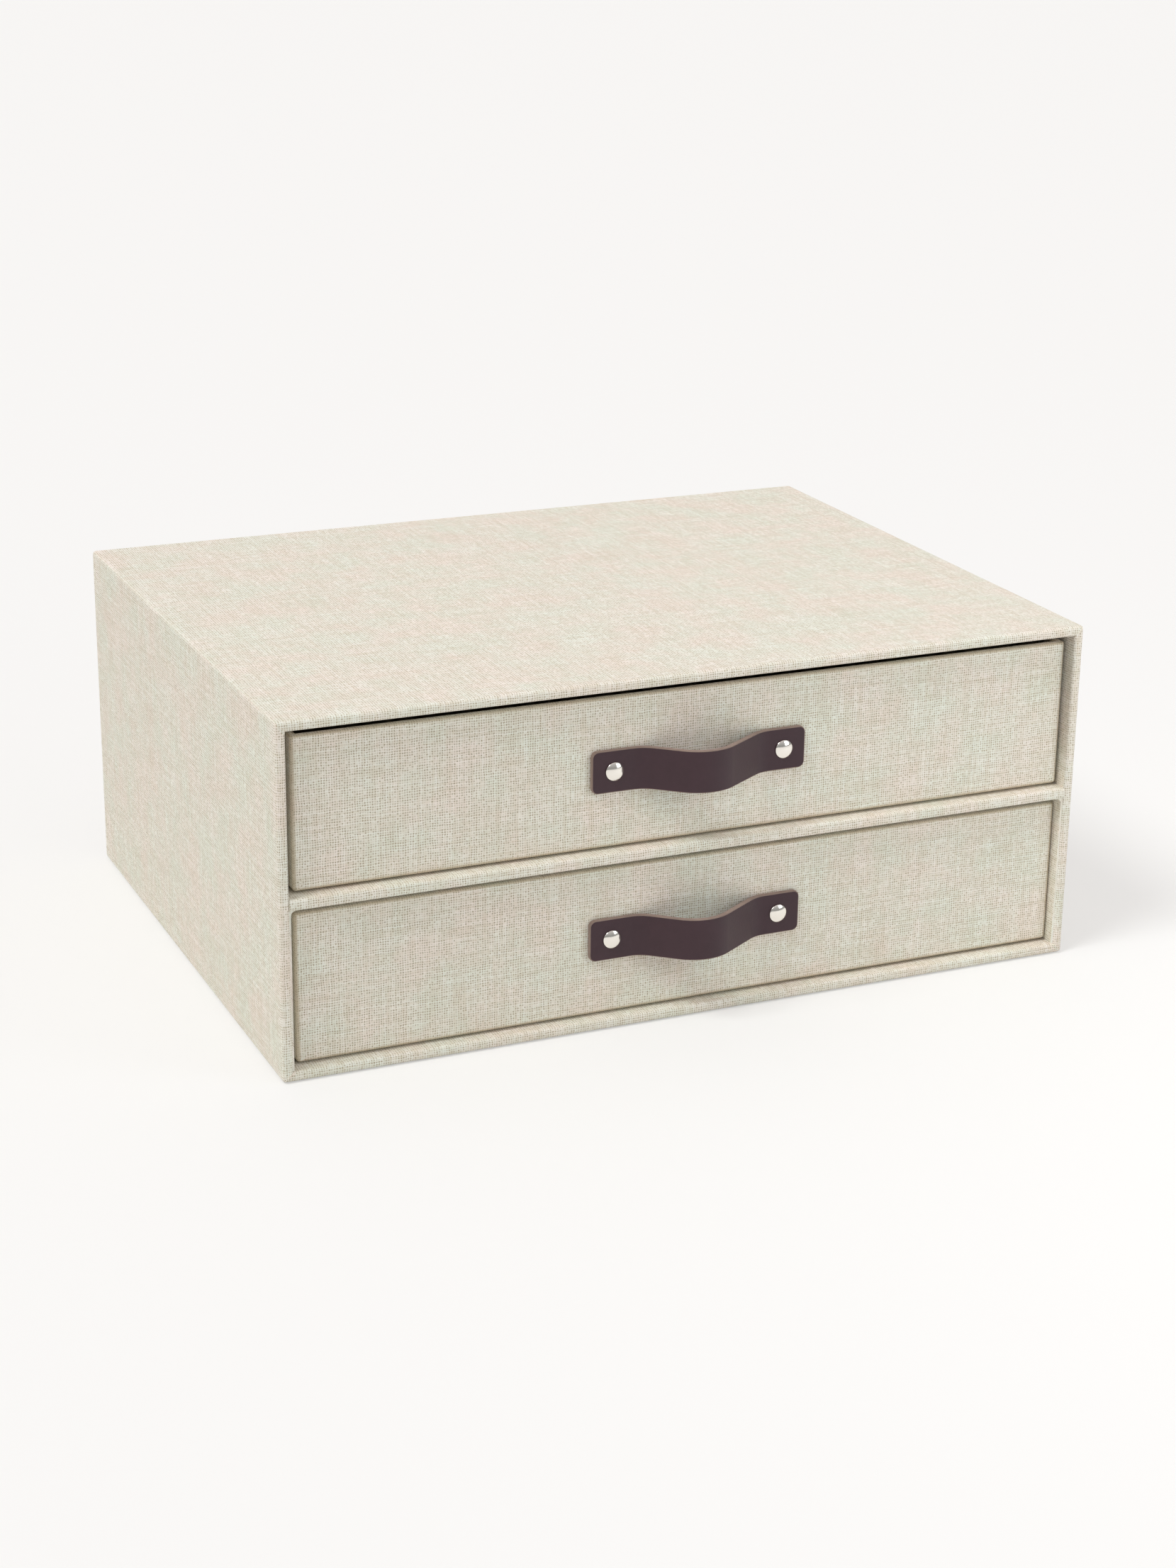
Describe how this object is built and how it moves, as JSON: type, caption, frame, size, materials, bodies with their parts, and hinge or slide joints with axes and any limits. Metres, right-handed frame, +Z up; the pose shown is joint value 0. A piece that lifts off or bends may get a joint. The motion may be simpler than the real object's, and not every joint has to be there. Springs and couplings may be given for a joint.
{
  "type": "file box with drawers",
  "caption": "Low cloth-covered desk box whose stacked flat drawers slide forward out of an open-fronted case, each pulled by a bowed leather strap.",
  "frame": {"origin": "on the floor under the middle of the case's footprint, on the face of the base sheet", "axes": "+X to the right along the box's long side, +Y from the mouth to the back, +Z up; the drawers open towards -Y"},
  "size_m": [0.33, 0.2608, 0.138],
  "materials": {
    "linen": "woven linen book-cloth, unbleached, matt",
    "paper": "uncoated lining paper",
    "greyboard": "bare bookbinder's greyboard",
    "leather": "dark brown, smooth, satin, with lighter cut edges",
    "nickel": "polished nickel plate"
  },
  "bodies": {
    "case": {"case_top_board": "greyboard", "case_bottom_board": "greyboard", "case_left_board": "greyboard", "case_right_board": "greyboard", "case_back_board": "greyboard", "case_cover": "linen", "case_back_cover": "linen", "case_base_sheet": "paper", "case_wall_lining": "paper", "case_back_lining": "paper", "shelf_board": "greyboard", "shelf_cover": "linen"},
    "upper_drawer": {"upper_drawer_bottom_board": "greyboard", "upper_drawer_front_board": "greyboard", "upper_drawer_back_board": "greyboard", "upper_drawer_left_board": "greyboard", "upper_drawer_right_board": "greyboard", "upper_drawer_cover": "linen", "upper_drawer_lining": "paper", "upper_drawer_base_sheet": "paper", "upper_drawer_handle": "leather", "upper_drawer_rivets": "nickel", "upper_drawer_rivet_backs": "nickel"},
    "lower_drawer": {"lower_drawer_bottom_board": "greyboard", "lower_drawer_front_board": "greyboard", "lower_drawer_back_board": "greyboard", "lower_drawer_left_board": "greyboard", "lower_drawer_right_board": "greyboard", "lower_drawer_cover": "linen", "lower_drawer_lining": "paper", "lower_drawer_base_sheet": "paper", "lower_drawer_handle": "leather", "lower_drawer_rivets": "nickel", "lower_drawer_rivet_backs": "nickel"}
  },
  "joints": [
    {"name": "upper_drawer_slide", "type": "slide", "parent": "case", "child": "upper_drawer", "axis": [0, -1, 0], "range_m": [0, 0.2]},
    {"name": "lower_drawer_slide", "type": "slide", "parent": "case", "child": "lower_drawer", "axis": [0, -1, 0], "range_m": [0, 0.2]}
  ]
}
